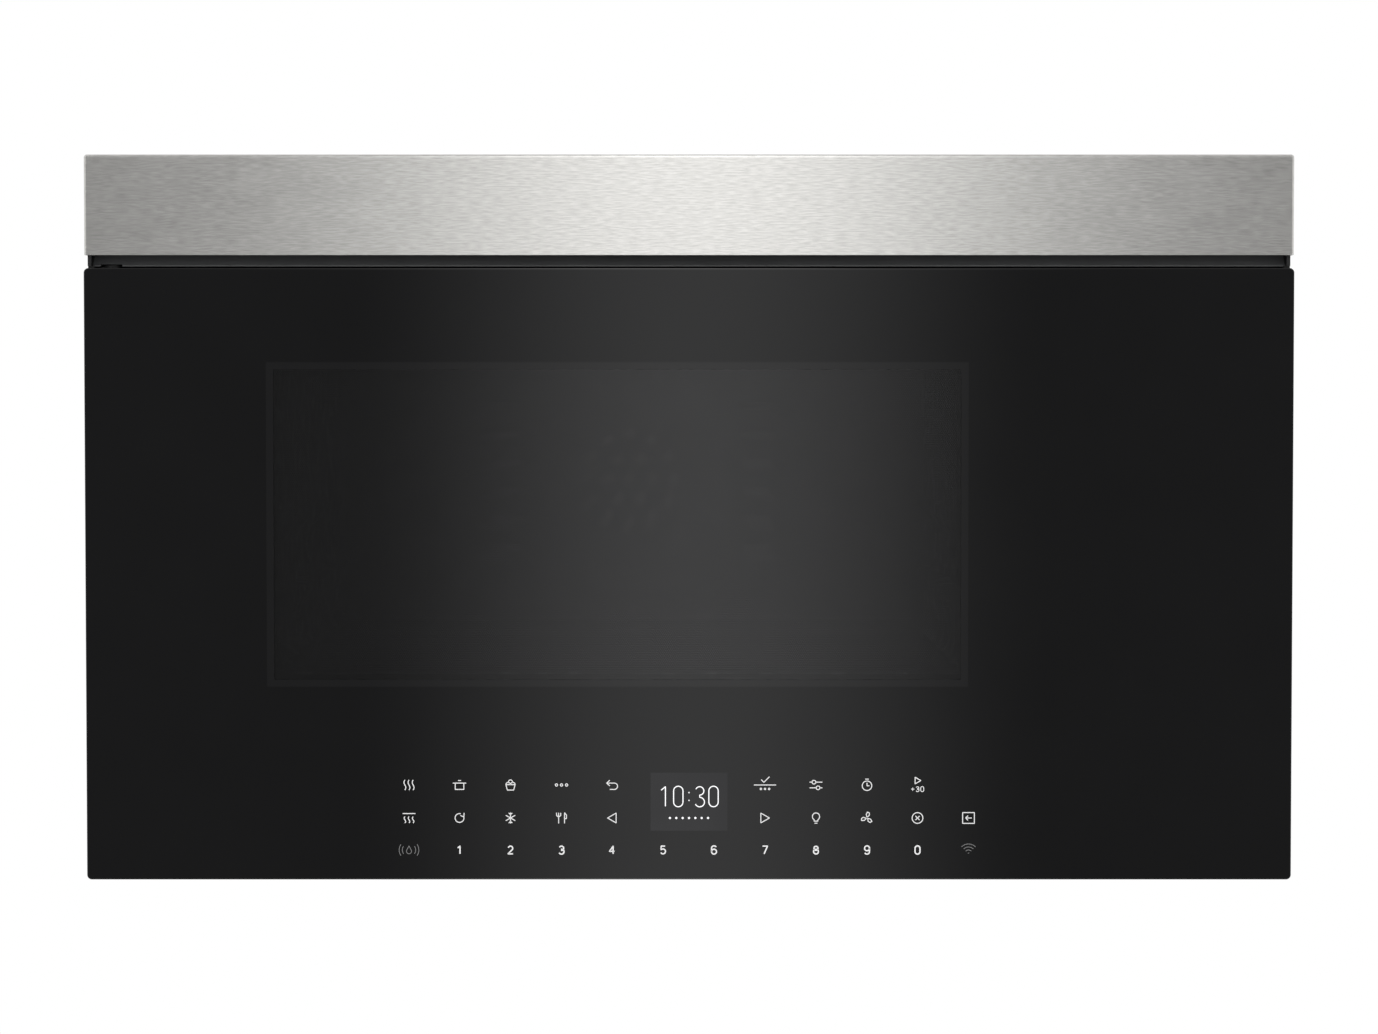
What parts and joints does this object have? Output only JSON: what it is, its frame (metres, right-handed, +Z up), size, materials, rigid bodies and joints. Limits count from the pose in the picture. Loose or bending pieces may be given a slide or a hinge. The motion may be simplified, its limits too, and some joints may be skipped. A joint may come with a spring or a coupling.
{
  "type": "over-the-range microwave oven",
  "caption": "Wall-hung microwave oven with a range hood vent in its base, a full-width flush glass door with touch keys, and a bright metal top panel over an air slot.",
  "frame": {"origin": "middle of the back plate's wall face", "axes": "+X to the right as seen from the front, +Y back to the wall, +Z up"},
  "size_m": [0.759, 0.419, 0.4747],
  "materials": {
    "black_steel": "fine black powder coat",
    "galvanised_steel": "zinc-coated sheet",
    "stainless_steel": "horizontally brushed",
    "black_plastic": "moulded, fine grain",
    "grey_plastic": "moulded",
    "white_plastic": "moulded",
    "black_glass": "dark coated, polished",
    "clear_glass": "clear, polished",
    "frosted_glass": "frosted",
    "glass_ceramic": "smooth dark glass-ceramic",
    "cavity_enamel": "speckled grey enamel",
    "zinc_steel": "bright zinc plate",
    "aluminium": "mill finish",
    "heater_sheath": "oxidised alloy sheath",
    "circuit_board": "solder mask",
    "display": "smoked lens",
    "rubber": "soft matte",
    "charcoal": "bonded granules",
    "motor_steel": "laminations under varnish"
  },
  "bodies": {
    "cabinet": {"outer_wrap": "black_steel", "back_plate": "galvanised_steel", "base_pan": "black_steel", "plenum_deck": "galvanised_steel", "front_frame": "black_steel", "top_panel": "stainless_steel", "vent_deflector": "black_plastic", "charcoal_filter": "charcoal", "mount_bracket": "galvanised_steel", "cord_grommet": "rubber", "hinge_brackets": "black_steel", "door_bumpers": "rubber", "case_screws": "zinc_steel", "cavity_liner": "cavity_enamel", "cavity_lamp": "frosted_glass", "ceramic_floor": "glass_ceramic", "rack_supports": "cavity_enamel", "grill_element": "heater_sheath", "convection_housing": "galvanised_steel", "convection_heater": "heater_sheath", "convection_motor": "motor_steel", "stirrer_well": "cavity_enamel", "waveguide": "galvanised_steel", "stirrer_motor": "motor_steel", "magnetron": "aluminium", "cooling_shroud": "black_plastic", "high_voltage_transformer": "motor_steel", "high_voltage_capacitor": "aluminium", "power_board": "circuit_board", "blower_housings": "galvanised_steel", "blower_motor": "motor_steel", "exhaust_adapter": "galvanised_steel", "light_lenses": "frosted_glass", "light_boards": "white_plastic", "interlock_bracket": "white_plastic", "interlock_switches": "black_plastic", "release_solenoid": "motor_steel"},
    "door": {"door_glass": "black_glass", "door_frame": "black_plastic", "hinge_bushes": "white_plastic", "door_panel": "black_steel", "choke_cover": "black_plastic", "inner_glass": "clear_glass", "door_back": "black_steel", "touch_board": "circuit_board", "display_module": "display", "latch_spring": "zinc_steel"},
    "latch": {"latch_plate": "grey_plastic"},
    "release_lever": {"release_lever": "grey_plastic"},
    "solenoid_plunger": {"solenoid_plunger": "zinc_steel"},
    "door_pusher": {"door_pusher": "grey_plastic"},
    "switch_plungers": {"switch_plungers": "grey_plastic"},
    "vent_rotor": {"blower_rotor": "black_plastic"},
    "cooling_fan": {"cooling_fan": "black_plastic"},
    "convection_fan": {"convection_fan": "galvanised_steel"},
    "mode_stirrer": {"mode_stirrer": "aluminium"},
    "damper": {"damper_flap": "galvanised_steel"},
    "left_filter": {"grease_filter_left": "aluminium"},
    "right_filter": {"grease_filter_right": "aluminium"}
  },
  "joints": [
    {"name": "door_hinge", "type": "hinge", "parent": "cabinet", "child": "door", "pos_m": [-0.3645, -0.397, 0], "axis": [0, 0, -1], "range_deg": [0, 95]},
    {"name": "latch_slide", "type": "slide", "parent": "door", "child": "latch", "axis": [0, 0, 1], "range_m": [0, 0.004], "stiffness_N_per_m": 500, "springref_m": -0.01, "deforming": ["latch_spring"]},
    {"name": "release_lever_pivot", "type": "hinge", "parent": "cabinet", "child": "release_lever", "pos_m": [0.224, -0.352, -0.049], "axis": [-1, 0, 0], "range_deg": [0, 10.59]},
    {"name": "solenoid_plunger_slide", "type": "slide", "parent": "cabinet", "child": "solenoid_plunger", "axis": [0, 0, -1], "range_m": [0, 0.00361]},
    {"name": "door_pusher_slide", "type": "slide", "parent": "cabinet", "child": "door_pusher", "axis": [0, -1, 0], "range_m": [0, 0.012]},
    {"name": "switch_plunger_slide", "type": "slide", "parent": "cabinet", "child": "switch_plungers", "axis": [0, -1, 0], "range_m": [0, 0.0015]},
    {"name": "vent_rotor_spin", "type": "hinge", "parent": "cabinet", "child": "vent_rotor", "pos_m": [0, -0.09125, 0.18055], "axis": [1, 0, 0], "continuous": true},
    {"name": "cooling_fan_spin", "type": "hinge", "parent": "cabinet", "child": "cooling_fan", "pos_m": [0.2408, -0.1685, -0.07545], "axis": [0, 1, 0], "continuous": true},
    {"name": "convection_fan_spin", "type": "hinge", "parent": "cabinet", "child": "convection_fan", "pos_m": [-0.045, -0.0512, 0.01455], "axis": [0, 1, 0], "continuous": true},
    {"name": "mode_stirrer_spin", "type": "hinge", "parent": "cabinet", "child": "mode_stirrer", "pos_m": [-0.045, -0.223, -0.15345], "axis": [0, 0, 1], "continuous": true},
    {"name": "damper_hinge", "type": "hinge", "parent": "cabinet", "child": "damper", "pos_m": [0, -0.1282, 0.23635], "axis": [1, 0, 0], "range_deg": [0, 80]},
    {"name": "left_filter_tilt", "type": "hinge", "parent": "cabinet", "child": "left_filter", "pos_m": [-0.19, -0.123, -0.22595], "axis": [1, 0, 0], "range_deg": [0, 35]},
    {"name": "right_filter_tilt", "type": "hinge", "parent": "cabinet", "child": "right_filter", "pos_m": [0.19, -0.123, -0.22595], "axis": [1, 0, 0], "range_deg": [0, 35]}
  ],
  "couplings": [
    {"joint": "release_lever_pivot", "follows": "latch_slide", "rad_per_m": 46},
    {"joint": "solenoid_plunger_slide", "follows": "latch_slide", "ratio": 0.9},
    {"joint": "door_pusher_slide", "follows": "door_hinge", "m_per_rad": 0.00723},
    {"joint": "switch_plunger_slide", "follows": "door_hinge", "m_per_rad": 0.0009}
  ]
}
